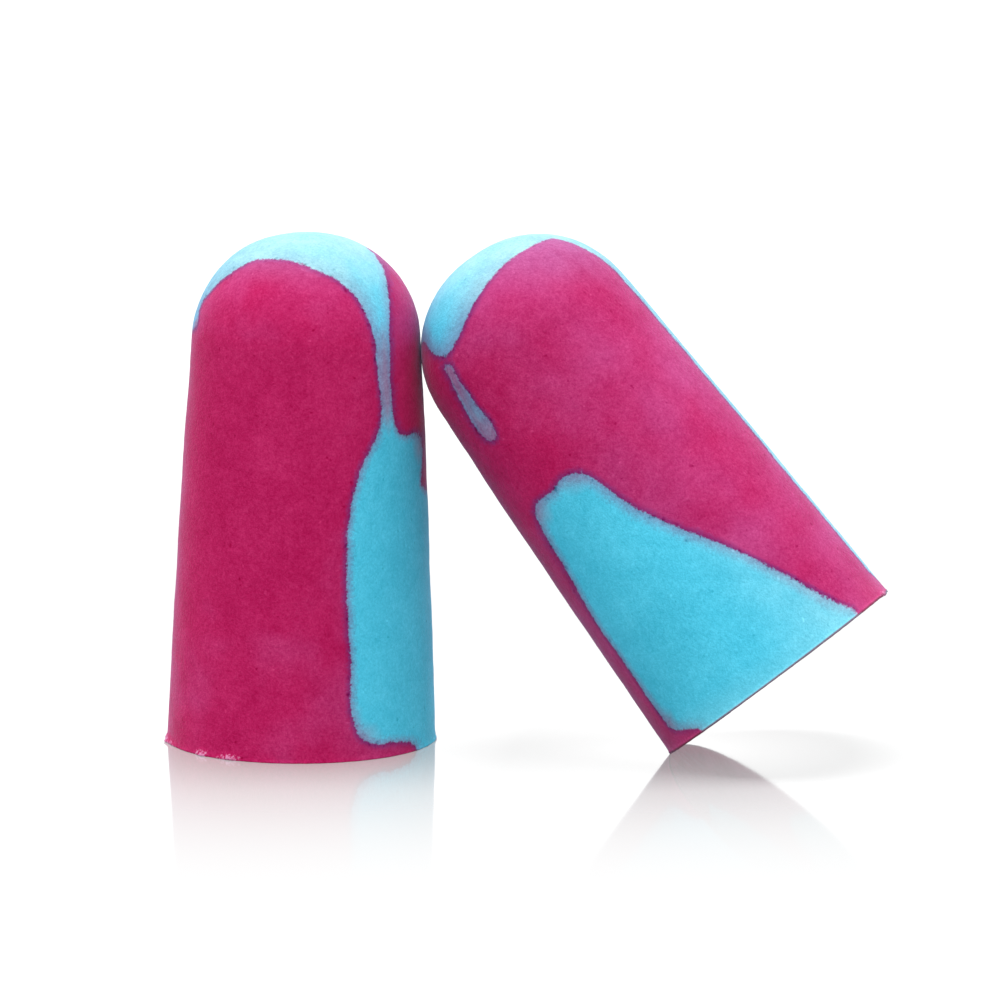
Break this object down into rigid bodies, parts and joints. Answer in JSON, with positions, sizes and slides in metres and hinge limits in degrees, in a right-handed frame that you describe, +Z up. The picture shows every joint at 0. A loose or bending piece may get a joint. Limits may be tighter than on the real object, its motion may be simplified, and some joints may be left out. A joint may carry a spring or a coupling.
{
  "type": "foam ear plugs",
  "caption": "Bullet-shaped soft foam ear plugs in swirled magenta and blue, with a domed tip and a flat cut base; a leaning plug tips up to stand.",
  "frame": {"origin": "centre of the upright plug's cut base, on the surface the plugs stand on", "axes": "+Z up; +X from the upright plug towards the leaning plug's standing rim, along the pair's length; +Y away from the fronts"},
  "size_m": [0.0349, 0.0143, 0.0248],
  "materials": {
    "magenta_foam": "matte slow-recovery polyurethane foam, fine closed skin with a few open cells",
    "blue_foam": "matte slow-recovery polyurethane foam, fine closed skin with a few open cells"
  },
  "bodies": {
    "upright_plug": {"upright_plug_magenta": "magenta_foam", "upright_plug_blue": "blue_foam"},
    "leaning_plug": {"leaning_plug_magenta": "magenta_foam", "leaning_plug_blue_cap": "blue_foam", "leaning_plug_blue_streak": "blue_foam", "leaning_plug_blue_flank": "blue_foam"}
  },
  "joints": [
    {"name": "tip_up", "type": "hinge", "parent": "upright_plug", "child": "leaning_plug", "pos_m": [0.0182, 0.0013, 0], "axis": [0, 1, 0], "range_deg": [0, 38]}
  ]
}
